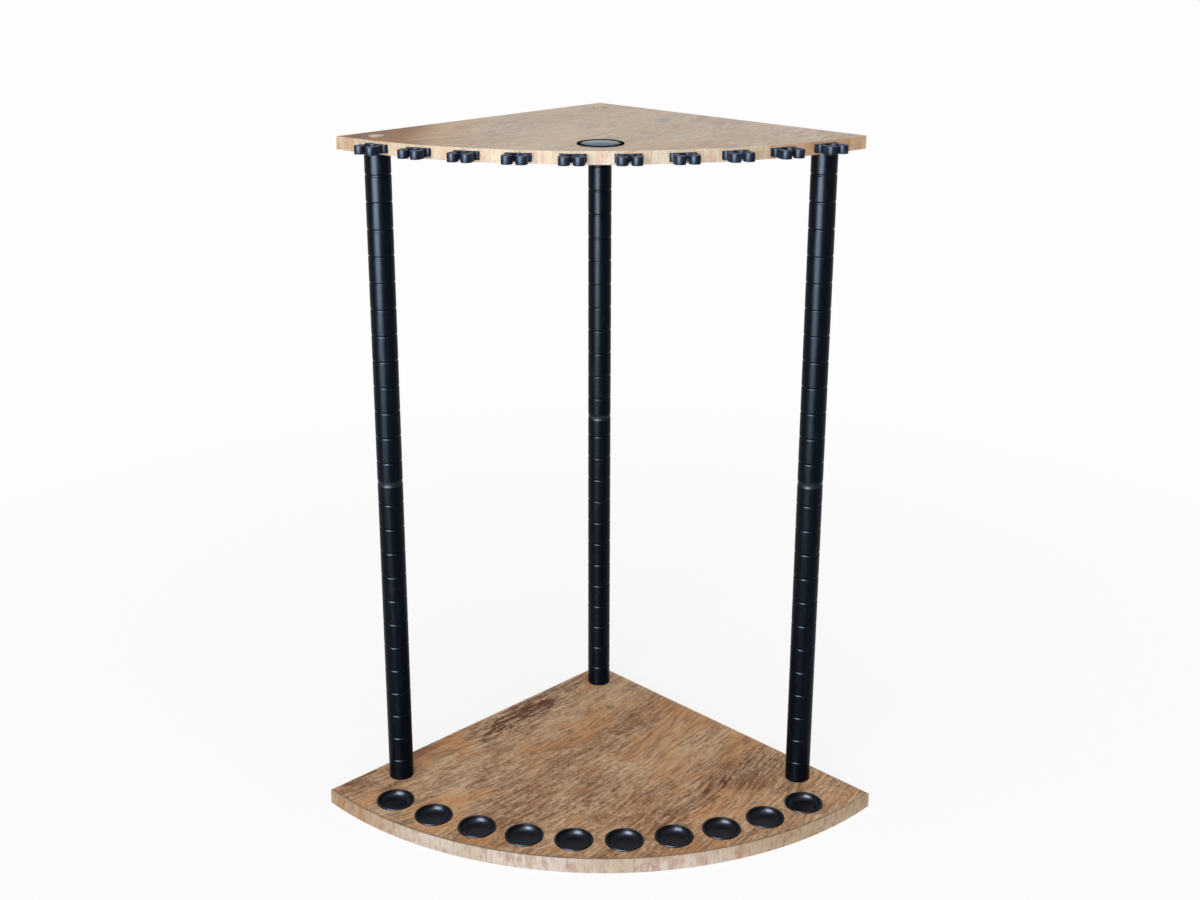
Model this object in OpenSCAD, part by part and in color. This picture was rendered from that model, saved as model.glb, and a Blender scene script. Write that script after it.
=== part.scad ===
// Corner rack for fishing rods. Two quarter-round wood panels stand on three tube posts.
// Each post is two ringed half tubes joined by a coupler. The rod butts stand in cups in
// the base, and the rods snap into clips screwed to the round edge of the top.
//
// The rack stands on z = 0 with its origin at the middle of its footprint. +X is to its
// right, seen from the front, and +Y points to the back corner, which fits a room's corner.

/* [Panels] */
// Overall height of the rack, to the face of the top
rack_h = 682; // [500:1:900]
// Length of each straight side of the base
base_side = 390; // [340:1:440]
// How far the round front of the base swells past the line between its ends
base_bulge = 119; // [110:1:130]
// Thickness of the base
base_t = 15; // [13:0.5:20]
// How much shorter each straight side of the top is than the base's
top_setback = 45; // [25:1:55]
// How far the round front of the top swells past the line between its ends
top_bulge = 91; // [84:1:100]
// Thickness of the top
top_t = 12; // [10:0.5:16]
// Thickness of the bands on the edges of both panels
band_t = 1; // [0.6:0.1:2]
// How far the bands of the base stop above the floor
band_lift = 0.3; // [0.1:0.1:0.5]

/* [Posts] */
// Outer diameter of the tubes
tube_d = 25; // [22:0.5:28]
// Wall of the tubes
tube_wall = 2.2; // [1.6:0.1:3]
// Distance from a post's axis to the straight sides of the top beside it
post_inset = 26.5; // [22:0.5:32]
// Distance between two ring grooves
groove_pitch = 25.7; // [20:0.1:32]
// Distance from a panel to the first ring groove
groove_start = 23; // [15:0.5:30]
// Least distance from the last ring groove to the collar
groove_stop = 16; // [10:0.5:20]
// Width of a ring groove
groove_w = 2.8; // [1.6:0.1:3.4]
// Depth of a ring groove
groove_depth = 0.5; // [0.3:0.05:0.8]

/* [Coupler and plugs] */
// Height of the collar that shows between the two halves of a post
collar_h = 6; // [4:0.5:10]
// How far the collar's edges lie below the surface of the tubes
collar_step = 0.1; // [0.05:0.05:0.5]
// Depth of the shallow hollow round the collar
collar_hollow = 0.4; // [0.1:0.05:0.8]
// Length of the coupler's spigot in each half
spigot_l = 24; // [15:1:35]
// Diameter of the bore through the coupler
coupler_bore_d = 12; // [8:0.5:15]
// Length of the plug in a tube's end
plug_l = 28; // [20:1:40]
// Chamfer on the inner ends of spigots and plugs
lead_in = 1; // [0.5:0.1:2]
// Clearance between a tube's bore and what is pressed into it
press_clear = 0.05; // [0.02:0.01:0.15]

/* [Panel screws] */
// Shank diameter of the screws that hold the posts
post_screw_d = 4; // [3:0.5:5]
// Head diameter of the screws that hold the posts
post_screw_head_d = 8; // [7:0.5:10]
// Length of the screws that hold the posts
post_screw_l = 34; // [25:1:45]
// How far a countersunk head lies below the panel's face
head_sink = 0.4; // [0.2:0.1:1]
// Clearance around the shank and head of a screw
screw_clear = 0.1; // [0.05:0.05:0.2]
// Width of the slots in the cross recess of every screw
drive_w = 0.8; // [0.5:0.1:1.2]
// Depth of the cross recess in the screws that hold the posts
drive_depth = 1.2; // [0.8:0.1:1.6]
// Diameter of the screw covers
cover_d = 15; // [12:0.5:20]
// Thickness of the screw covers
cover_t = 0.6; // [0.4:0.1:1.5]

/* [Butt cups] */
// Number of rod places
rod_count = 10; // [2:2:10]
// Distance from an end of the base's round front to the outermost cup, along the front
cup_end = 67; // [60:1:85]
// Distance from the front edge of the base to the cups' centres
cup_edge = 32; // [26:0.5:36]
// Outer diameter of a cup's lip
cup_lip_d = 38.4; // [36:0.2:40]
// Outer diameter of the well below the lip
cup_well_d = 35.2; // [35:0.1:36]
// Diameter of a cup's mouth, at the top of its lip
cup_mouth_d = 33.6; // [32:0.2:34]
// Slope of the well's inner wall, in degrees from upright
cup_draft = 4; // [1:1:20]
// Height of a cup's lip above the base
cup_lip_h = 1.6; // [1.4:0.1:3]
// Rounding of the outer edge of a cup's lip
cup_lip_round = 1.2; // [0.6:0.1:1.2]
// Chamfer on the inner edge of a cup's lip
cup_lip_chamfer = 0.3; // [0.1:0.05:0.5]
// Depth of a cup's floor below the face of the base
cup_depth = 5; // [4.5:0.5:8]
// Thickness of a cup's floor
cup_floor_t = 2; // [1.5:0.1:3]
// Rounding between a cup's inner wall and its floor
cup_floor_round = 6.5; // [1:0.1:6.9]
// Clearance of a cup in its hole
cup_clear = 0.1; // [0.05:0.05:0.3]

/* [Rod clips] */
// Width of a clip's flange
clip_w = 24; // [22:0.2:28]
// Height of a clip
clip_h = 7.5; // [6:0.1:9]
// How far a clip stands out from the edge of the top
clip_reach = 22; // [21:0.1:25]
// Thickness of the flange behind the pocket
flange_t = 3.2; // [2.8:0.1:4]
// Diameter of the pocket that holds the rod
pocket_d = 12.6; // [11:0.2:13]
// Diameter of the round nose of each jaw
nose_d = 10.2; // [9.4:0.1:11]
// Least width of the mouth between the jaws
mouth_w = 2.8; // [2:0.1:4]
// Length of the straight flanks of each jaw
jaw_flank = 4.5; // [3.5:0.1:5]
// Radius of the waist between flange and jaw
waist_r = 3; // [2.5:0.1:3.4]

/* [Clip screws] */
// Shank diameter of the clip screws
clip_screw_d = 3; // [2:0.5:3.5]
// Head diameter of the clip screws
clip_screw_head_d = 5.8; // [5:0.2:6.5]
// Height of the head of the clip screws
clip_screw_head_h = 1.4; // [1:0.1:1.6]
// Depth of the cross recess in the clip screws
clip_drive_depth = 0.7; // [0.4:0.1:1]
// Length of the clip screws' shank
clip_screw_l = 16; // [10:1:20]
// Thickness of the flange under a clip screw's head
head_seat_t = 1.4; // [1:0.1:1.6]

/* [Badge] */
// Diameter of the plain round badge in the top
badge_d = 43; // [30:1:50]
// Distance from the front edge of the top to the badge's centre
badge_edge = 43.6; // [38:0.2:60]
// Depth of the badge's recess
badge_sink = 1.4; // [1:0.1:2.5]
// Width of the badge's rim
badge_rim_w = 1.6; // [1:0.1:1.8]
// Height of the badge's rim above the top
badge_rim_h = 1; // [1:0.1:1.6]
// Rise of the badge's domed middle, which ends level with the rim
badge_dome_h = 0.6; // [0.2:0.1:0.8]
// Clearance of the badge in its recess
badge_clear = 0.1; // [0.05:0.05:0.3]

/* [Hidden] */
SIDES = ["back", "left", "right"];
PLACES = [for (i = [1 : rod_count]) i];

$fn = 72;
// Segments of the long arcs of the panels
arc_fn = 360;
// Segments of the ball whose cap rounds a screw's head
ball_fn = 144;
// Segments of the round cutter of the ring grooves
groove_fn = 32;
// Overlap that lets a cut run clear through a face
cut = 1;

WOOD = "#b59a85";
BAND = "#e3d3c0";
TUBE = "#3a3f45";
COLLAR = "#6b6f72";
RUBBER = "#2c3036";
CLIP = "#2b3240";
STEEL = "#a8aaad";
BLACKENED = "#303236";
COVER = "#d2c3b0";
BADGE = "#23282c";

// Half the line between the two ends of a panel, from the length of its straight sides
function half_chord(side) = side / sqrt(2);
// Radius of an arc, from half the line between its ends and its rise over that line
function arc_r(half_line, rise) = (pow(half_line, 2) + pow(rise, 2)) / (2 * rise);
// Radius of a panel's round front
function front_r(side, bulge) = arc_r(half_chord(side), bulge);
// Distance from the back corner to a panel's frontmost point
function panel_depth(side, bulge) = half_chord(side) + bulge;
// Centre of a panel's round front, as a distance in front of the back corner
function front_centre(side, bulge) = panel_depth(side, bulge) - front_r(side, bulge);

top_side = base_side - top_setback;
base_r = front_r(base_side, base_bulge);
base_depth = panel_depth(base_side, base_bulge);
base_centre = front_centre(base_side, base_bulge);
top_r = front_r(top_side, top_bulge);
top_depth = panel_depth(top_side, top_bulge);
top_centre = front_centre(top_side, top_bulge);
top_z = rack_h - top_t;

post_reach = top_side - post_inset;
half_tube_l = (top_z - base_t - collar_h) / 2;
collar_z = base_t + half_tube_l;
tube_bore_d = tube_d - 2 * tube_wall;
groove_count = floor((half_tube_l - groove_start - groove_stop) / groove_pitch) + 1;
// Radius of the round cutter that leaves a groove of that width and depth
groove_r = arc_r(groove_w / 2, groove_depth);

// Length of the thin cylinder at the rim of a countersunk head
head_rim = 0.4;

cup_row_r = base_r - cup_edge;
// Angle of the outermost cup on the cups' arc, from straight ahead
cup_row_end = asin(half_chord(base_side) / base_r) - cup_end / base_r * 180 / PI;
cup_pitch = 2 * cup_row_end / (rod_count - 1);
cup_hole_d = cup_well_d + 2 * cup_clear;
cup_hole_depth = cup_depth + cup_floor_t + cup_clear;
// How far below the centre of the floor's rounding the sloping wall of a cup starts
cup_wall_foot = cup_floor_round * sin(cup_draft);
// Rise of the sloping wall from there to the mouth
cup_wall_rise = cup_lip_h + cup_depth - cup_floor_round + cup_wall_foot;
// Distance of the rounding's centre from the cup's axis
cup_round_x = cup_mouth_d / 2 - cup_floor_round * cos(cup_draft) - cup_wall_rise * tan(cup_draft);

nose_r = nose_d / 2;
pocket_r = pocket_d / 2;
nose_x = mouth_w / 2 + nose_r;
nose_y = clip_reach - nose_r;
jaw_y = nose_y - jaw_flank;
pocket_y = flange_t + pocket_r;
// The waist touches the flange's face and the jaw's round end
waist_y = flange_t + waist_r;
waist_x = nose_x + sqrt(pow(waist_r + nose_r, 2) - pow(jaw_y - waist_y, 2));
waist_end_y = jaw_y - (jaw_y - waist_y) * nose_r / (waist_r + nose_r);
clip_z = top_z + top_t / 2;

// Angle of rod place i (1 is the leftmost) on the cups' arc, from straight ahead
function cup_angle(i) = (i - (rod_count + 1) / 2) * cup_pitch;
// Angle of the clip that holds its rod straight behind cup i
function clip_angle(i) = asin(cup_row_r * sin(cup_angle(i)) / (top_r + pocket_y));
// Place of a post's axis along the left and along the right side, from the back corner
function post_uv(side) =
    side == "back" ? [post_inset, post_inset] :
    side == "left" ? [post_reach, post_inset] : [post_inset, post_reach];

// Moves what is drawn from the back corner to the rack's own origin
module from_back_corner() {
    translate([0, base_depth / 2, 0]) children();
}

// Turns X to run along the left side of a panel and Y along the right side
module along_sides() {
    rotate(-135) children();
}

module at_post(side) {
    from_back_corner() along_sides() translate(post_uv(side)) children();
}

module at_cup(i) {
    from_back_corner() translate([0, -base_centre, 0]) rotate(cup_angle(i))
        translate([0, -cup_row_r, base_t]) children();
}

// Puts a clip's own X along the edge of the top and its Y out from that edge
module at_clip(i) {
    from_back_corner() translate([0, -top_centre, clip_z]) rotate(180 + clip_angle(i))
        translate([0, top_r, 0]) children();
}

// Round front of a panel, drawn in by a margin
module front_disc(side, bulge, margin) {
    translate([0, -front_centre(side, bulge)])
        circle(r = front_r(side, bulge) - margin, $fn = arc_fn);
}

// Quarter-round outline of a panel, drawn in by a margin all round
module panel_outline(side, bulge, margin) {
    intersection() {
        along_sides() translate([margin, margin]) square(2 * side);
        front_disc(side, bulge, margin);
    }
}

module front_band_outline(side, bulge) {
    difference() {
        panel_outline(side, bulge, 0);
        front_disc(side, bulge, band_t);
    }
}

// The left band runs to the back corner, and the right band butts against it
module side_band_outline(side, bulge, place) {
    intersection() {
        front_disc(side, bulge, band_t);
        along_sides() {
            if (place == "left") square([2 * side, band_t]);
            if (place == "right") translate([0, band_t]) square([band_t, 2 * side]);
        }
    }
}

// Cross recess, sunk from z = 0 and half as wide as the head
module cross_recess(head_d, depth) {
    for (turn = [0, 90]) rotate(turn)
        translate([-head_d / 4, -drive_w / 2, -depth]) cube([head_d / 2, drive_w, depth + cut]);
}

// Countersunk wood screw that points down, its head's face at z = 0
module countersunk_screw() {
    head_r = post_screw_head_d / 2;
    shank_r = post_screw_d / 2;
    cone_end = head_rim + head_r - shank_r;
    difference() {
        rotate_extrude() polygon([
            [0, 0], [head_r, 0], [head_r, -head_rim], [shank_r, -cone_end],
            [shank_r, -(post_screw_l - post_screw_d)], [0, -post_screw_l]
        ]);
        cross_recess(post_screw_head_d, drive_depth);
    }
}

// What a countersunk screw needs cut away, its head's face at z = 0
module countersunk_hole(panel_t) {
    head_r = post_screw_head_d / 2 + screw_clear;
    shank_r = post_screw_d / 2 + screw_clear;
    translate([0, 0, -panel_t - cut]) cylinder(r = shank_r, h = panel_t + 2 * cut);
    translate([0, 0, -head_rim]) cylinder(r = head_r, h = head_rim + head_sink + cut);
    translate([0, 0, -head_rim - (head_r - shank_r)])
        cylinder(r1 = shank_r, r2 = head_r, h = head_r - shank_r);
}

// Puts a downward screw over a post, or an upward one under it
module at_top_screw(side) {
    at_post(side) translate([0, 0, rack_h - head_sink]) children();
}

module at_base_screw(side) {
    at_post(side) translate([0, 0, head_sink]) mirror([0, 0, 1]) children();
}

// Pilot hole of a clip screw, drilled in from the edge of the top
module clip_pilot_hole() {
    depth = clip_screw_l - head_seat_t + screw_clear;
    translate([0, cut, 0]) rotate([90, 0, 0])
        cylinder(d = clip_screw_d + 2 * screw_clear, h = depth + cut);
}

module base_panel() {
    color(WOOD) difference() {
        from_back_corner() linear_extrude(base_t) panel_outline(base_side, base_bulge, band_t);
        for (i = PLACES) at_cup(i)
            translate([0, 0, -cup_hole_depth]) cylinder(d = cup_hole_d, h = cup_hole_depth + cut);
        for (side = SIDES) at_base_screw(side) countersunk_hole(base_t);
    }
}

module base_band_front() {
    color(BAND) from_back_corner() translate([0, 0, band_lift])
        linear_extrude(base_t - band_lift) front_band_outline(base_side, base_bulge);
}

module base_band_side(place) {
    color(BAND) from_back_corner() translate([0, 0, band_lift])
        linear_extrude(base_t - band_lift) side_band_outline(base_side, base_bulge, place);
}

module top_panel() {
    color(WOOD) difference() {
        from_back_corner() translate([0, 0, top_z])
            linear_extrude(top_t) panel_outline(top_side, top_bulge, band_t);
        for (side = SIDES) at_top_screw(side) countersunk_hole(top_t);
        for (i = PLACES) at_clip(i) clip_pilot_hole();
        at_badge() translate([0, 0, -badge_sink]) cylinder(d = badge_d, h = badge_sink + cut);
    }
}

module top_band_front() {
    color(BAND) difference() {
        from_back_corner() translate([0, 0, top_z])
            linear_extrude(top_t) front_band_outline(top_side, top_bulge);
        for (i = PLACES) at_clip(i) clip_pilot_hole();
    }
}

module top_band_side(place) {
    color(BAND) from_back_corner() translate([0, 0, top_z])
        linear_extrude(top_t) side_band_outline(top_side, top_bulge, place);
}

// Half tube that stands up from a panel at z = 0, with its ring grooves
module half_tube() {
    rotate_extrude() difference() {
        translate([tube_bore_d / 2, 0]) square([tube_wall, half_tube_l]);
        for (i = [0 : groove_count - 1])
            translate([tube_d / 2 - groove_depth + groove_r, groove_start + i * groove_pitch])
                circle(r = groove_r, $fn = groove_fn);
    }
}

module lower_tube(side) {
    color(TUBE) at_post(side) translate([0, 0, base_t]) half_tube();
}

module upper_tube(side) {
    color(TUBE) at_post(side) translate([0, 0, top_z]) mirror([0, 0, 1]) half_tube();
}

module post_coupler(side) {
    collar_r = tube_d / 2 - collar_step;
    spigot_r = tube_bore_d / 2 - press_clear;
    bore_r = coupler_bore_d / 2;
    tip_z = collar_h / 2 + spigot_l;
    // Radius of the round cutter that leaves the hollow round the collar
    hollow_r = arc_r(collar_h / 2, collar_hollow);
    // From the collar's upper edge to the tip of the upper spigot
    upper = [
        [collar_r, collar_h / 2], [spigot_r, collar_h / 2], [spigot_r, tip_z - lead_in],
        [spigot_r - lead_in, tip_z], [bore_r, tip_z]
    ];
    lower = [for (i = [len(upper) - 1 : -1 : 0]) [upper[i][0], -upper[i][1]]];
    color(COLLAR) at_post(side) translate([0, 0, collar_z + collar_h / 2])
        rotate_extrude() difference() {
            polygon(concat(upper, lower));
            translate([collar_r - collar_hollow + hollow_r, 0]) circle(r = hollow_r, $fn = arc_fn);
        }
}

// Plug that stands up from a panel at z = 0
module plug() {
    plug_r = tube_bore_d / 2 - press_clear;
    bore_r = post_screw_d / 2 + screw_clear;
    rotate_extrude() polygon([
        [bore_r, 0], [plug_r, 0], [plug_r, plug_l - lead_in],
        [plug_r - lead_in, plug_l], [bore_r, plug_l]
    ]);
}

module foot_plug(side) {
    color(RUBBER) at_post(side) translate([0, 0, base_t]) plug();
}

module head_plug(side) {
    color(RUBBER) at_post(side) translate([0, 0, top_z]) mirror([0, 0, 1]) plug();
}

module screw_cover(side) {
    color(COVER) at_post(side) translate([0, 0, rack_h]) cylinder(d = cover_d, h = cover_t);
}

module base_screws() {
    color(STEEL) for (side = SIDES) at_base_screw(side) countersunk_screw();
}

module top_screws() {
    color(STEEL) for (side = SIDES) at_top_screw(side) countersunk_screw();
}

// Half section of a cup's hollow, its mouth at the top of the lip
module cup_hollow() {
    mouth_r = cup_mouth_d / 2;
    round_y = cup_floor_round - cup_depth;
    translate([cup_round_x, round_y]) intersection() {
        circle(r = cup_floor_round);
        translate([0, -cup_floor_round]) square(2 * cup_floor_round);
    }
    polygon([
        [0, -cup_depth], [cup_round_x, -cup_depth], [cup_round_x, round_y],
        [cup_round_x + cup_floor_round * cos(cup_draft), round_y - cup_wall_foot],
        [mouth_r, cup_lip_h], [mouth_r + cut, cup_lip_h + cut], [0, cup_lip_h + cut]
    ]);
    // Chamfer at the mouth
    polygon([
        [0, cup_lip_h - cup_lip_chamfer], [mouth_r, cup_lip_h - cup_lip_chamfer],
        [mouth_r + cup_lip_chamfer, cup_lip_h], [0, cup_lip_h]
    ]);
}

// Cup with its lip on the base's face at z = 0 and its well let into the base
module butt_cup(i) {
    lip_r = cup_lip_d / 2;
    color(RUBBER) at_cup(i) rotate_extrude() difference() {
        union() {
            translate([0, -cup_depth - cup_floor_t])
                square([cup_well_d / 2, cup_depth + cup_floor_t]);
            square([lip_r, cup_lip_h - cup_lip_round]);
            square([lip_r - cup_lip_round, cup_lip_h]);
            translate([lip_r - cup_lip_round, cup_lip_h - cup_lip_round]) intersection() {
                circle(r = cup_lip_round);
                square(cup_lip_round);
            }
        }
        cup_hollow();
    }
}

// Plan of a rod clip: flange, waists, two round-nosed jaws and the pocket between them
module clip_outline() {
    difference() {
        union() {
            translate([-clip_w / 2, -cut]) square([clip_w, flange_t + cut]);
            translate([-waist_x, 0]) square([2 * waist_x, waist_end_y]);
            for (s = [-1, 1]) translate([s * nose_x, 0]) {
                translate([-nose_r, jaw_y]) square([nose_d, jaw_flank]);
                translate([0, jaw_y]) circle(r = nose_r);
                translate([0, nose_y]) circle(r = nose_r);
            }
        }
        for (s = [-1, 1]) translate([s * waist_x, waist_y]) circle(r = waist_r);
        translate([0, pocket_y]) circle(r = pocket_r);
        // The back of the flange hugs the round edge of the top
        translate([0, -top_r]) circle(r = top_r, $fn = arc_fn);
    }
}

module rod_clip(i) {
    color(CLIP) at_clip(i) difference() {
        translate([0, 0, -clip_h / 2]) linear_extrude(clip_h) clip_outline();
        translate([0, flange_t + cut, 0]) rotate([90, 0, 0])
            cylinder(d = clip_screw_d + 2 * screw_clear, h = flange_t + 2 * cut);
        translate([0, pocket_y, 0]) rotate([90, 0, 0])
            cylinder(d = clip_screw_head_d + 2 * screw_clear, h = pocket_y - head_seat_t);
    }
}

// Screw with a low round head, its seat at z = 0 and its shank pointing down
module clip_screw() {
    head_r = clip_screw_head_d / 2;
    shank_r = clip_screw_d / 2;
    // The upper half of the head is the cap of a ball
    cap_h = clip_screw_head_h / 2;
    ball_r = arc_r(head_r, cap_h);
    difference() {
        union() {
            rotate_extrude() polygon([
                [0, 0], [shank_r, 0], [shank_r, -(clip_screw_l - clip_screw_d)],
                [0, -clip_screw_l]
            ]);
            cylinder(r = head_r, h = cap_h);
            intersection() {
                cylinder(r = head_r, h = clip_screw_head_h);
                translate([0, 0, clip_screw_head_h - ball_r]) sphere(r = ball_r, $fn = ball_fn);
            }
        }
        translate([0, 0, clip_screw_head_h]) cross_recess(clip_screw_head_d, clip_drive_depth);
    }
}

module clip_screws() {
    color(BLACKENED) for (i = PLACES) at_clip(i)
        translate([0, head_seat_t, 0]) rotate([-90, 0, 0]) clip_screw();
}

module at_badge() {
    from_back_corner() translate([0, badge_edge - top_depth, rack_h]) children();
}

// Plain badge let into the top: a raised rim around a low dome
module round_badge() {
    badge_r = badge_d / 2 - badge_clear;
    dome_r = badge_r - badge_rim_w;
    dome_foot = badge_rim_h - badge_dome_h;
    ball_r = arc_r(dome_r, badge_dome_h);
    rim_r = badge_rim_w / 2;
    color(BADGE) at_badge() rotate_extrude() {
        translate([0, -badge_sink]) square([badge_r, badge_sink + dome_foot]);
        translate([dome_r, 0]) square([badge_rim_w, badge_rim_h - rim_r]);
        translate([badge_r - rim_r, badge_rim_h - rim_r]) circle(r = rim_r);
        intersection() {
            square([dome_r, badge_rim_h]);
            translate([0, badge_rim_h - ball_r]) circle(r = ball_r, $fn = arc_fn);
        }
    }
}

base_panel();
base_band_front();
base_band_side("left");  // base_band_left
base_band_side("right");  // base_band_right
top_panel();
top_band_front();
top_band_side("left");  // top_band_left
top_band_side("right");  // top_band_right
for (side = SIDES) {
    lower_tube(side);
    upper_tube(side);
    post_coupler(side);
    foot_plug(side);
    head_plug(side);
    screw_cover(side);
}
base_screws();
top_screws();
clip_screws();
round_badge();
for (i = PLACES) {
    butt_cup(i);
    rod_clip(i);
}
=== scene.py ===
"""Looks for a corner rack for fishing rods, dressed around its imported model.

Two quarter-round wood panels stand on three ringed tube posts. Ten cups in the base take the
butts of the rods, and ten clips on the round edge of the top hold the blanks above them.
Lengths are metres, in the model's own frame: +Z is up and +Y points to the back corner.
"""

import logging
import math
from dataclasses import dataclass, replace
from enum import Enum
from typing import Any, Iterable

import bmesh
import bpy
from mathutils import Matrix, Vector


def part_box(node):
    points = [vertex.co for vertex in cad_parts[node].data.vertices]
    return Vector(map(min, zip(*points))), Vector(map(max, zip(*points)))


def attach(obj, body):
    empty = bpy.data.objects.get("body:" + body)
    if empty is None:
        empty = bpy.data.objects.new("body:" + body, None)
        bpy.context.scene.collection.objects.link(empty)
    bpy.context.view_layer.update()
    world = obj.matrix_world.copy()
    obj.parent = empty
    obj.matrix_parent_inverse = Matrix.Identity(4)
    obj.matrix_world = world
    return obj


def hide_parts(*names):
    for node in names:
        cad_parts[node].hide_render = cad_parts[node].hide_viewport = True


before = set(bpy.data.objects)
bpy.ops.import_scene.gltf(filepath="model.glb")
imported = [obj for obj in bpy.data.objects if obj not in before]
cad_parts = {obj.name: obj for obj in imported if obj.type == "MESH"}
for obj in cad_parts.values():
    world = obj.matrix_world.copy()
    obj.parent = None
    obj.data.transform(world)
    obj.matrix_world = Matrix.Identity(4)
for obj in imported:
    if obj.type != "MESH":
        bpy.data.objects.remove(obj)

LOG = logging.getLogger("rod_rack")
BODY = "root"
MM = 0.001
SIDES = ("back", "left", "right")
PLACES = range(1, 11)
# How near a copied node's corners are joined, which turn still counts as flat, and which as sharp
MERGE_REACH = 0.002 * MM
FLAT_ANGLE = math.radians(0.5)
SHARP_ANGLE = math.radians(38)
# Which way the boards' grain runs in their middle, nearly along their left side
GRAIN_TURN = math.radians(50)
# How much its lines fan out towards the front, and how much they bend, in a metre
GRAIN_FAN = 0.75
GRAIN_BEND = 0.3
# How far they wander from side to side
GRAIN_WANDER = 20 * MM
WHITE = (1.0, 1.0, 1.0)
# The share of red, green and blue that the black plastic and rubber reflect
COOL_GLOSS = (0.6, 0.78, 1.0)

Colour = tuple[float, float, float]
Pair = tuple[float, float]


def tone(red: int, green: int, blue: int) -> Colour:
    """Turn a screen colour into the linear colour that shaders use.

    Args:
        red: Red, 0 to 255.
        green: Green, 0 to 255.
        blue: Blue, 0 to 255.

    Returns:
        The linear colour.
    """

    def linear(channel: int) -> float:
        """Turn one channel."""
        share = channel / 255
        return share / 12.92 if share <= 0.04045 else ((share + 0.055) / 1.055) ** 2.4

    return linear(red), linear(green), linear(blue)


class Axis(Enum):
    """An axis of a place, as the split of a vector names it."""

    X = "X"
    Y = "Y"


class Blend(Enum):
    """How one colour is laid over another."""

    MIX = "MIX"
    MULTIPLY = "MULTIPLY"


class Shade:
    """A shader socket on which Python's operators add Math nodes."""

    def __init__(self, bench: "Bench", socket: bpy.types.NodeSocket) -> None:
        """Wrap an output socket of the bench's tree.

        Args:
            bench: The material's bench.
            socket: The socket to wrap.
        """
        self.bench = bench
        self.socket = socket

    def _math(self, operation: str, *values: Any, clamp: bool = False) -> "Shade":
        """Add one Math node and return its value."""
        settings = {"operation": operation, "use_clamp": clamp}
        return self.bench.node("ShaderNodeMath", settings, dict(enumerate(values)))

    def __add__(self, other: Any) -> "Shade":
        """Add a value or a number."""
        return self._math("ADD", self, other)

    __radd__ = __add__

    def __sub__(self, other: Any) -> "Shade":
        """Subtract a value or a number."""
        return self._math("SUBTRACT", self, other)

    def __rsub__(self, other: Any) -> "Shade":
        """Subtract this value from a number."""
        return self._math("SUBTRACT", other, self)

    def __mul__(self, other: Any) -> "Shade":
        """Multiply by a value or a number."""
        return self._math("MULTIPLY", self, other)

    __rmul__ = __mul__

    def __abs__(self) -> "Shade":
        """Take the absolute value."""
        return self._math("ABSOLUTE", self)

    def clamped(self) -> "Shade":
        """Keep the value between 0 and 1."""
        return self._math("ADD", self, 0.0, clamp=True)

    def sine(self) -> "Shade":
        """Take the sine of the value in radians."""
        return self._math("SINE", self)

    def larger(self, other: Any) -> "Shade":
        """Take the larger of this value and another."""
        return self._math("MAXIMUM", self, other)

    def step(self, low: float, high: float) -> "Shade":
        """Rise smoothly from 0 at one value to 1 at another.

        Args:
            low: The value at which the result is 0.
            high: The value at which the result is 1. It may be below low.

        Returns:
            The smooth step.
        """
        limits = (low, high, 0.0, 1.0) if low < high else (high, low, 1.0, 0.0)
        sockets = {0: self, **{i + 1: limit for i, limit in enumerate(limits)}}
        return self.bench.node("ShaderNodeMapRange", {"interpolation_type": "SMOOTHSTEP"}, sockets)


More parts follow.
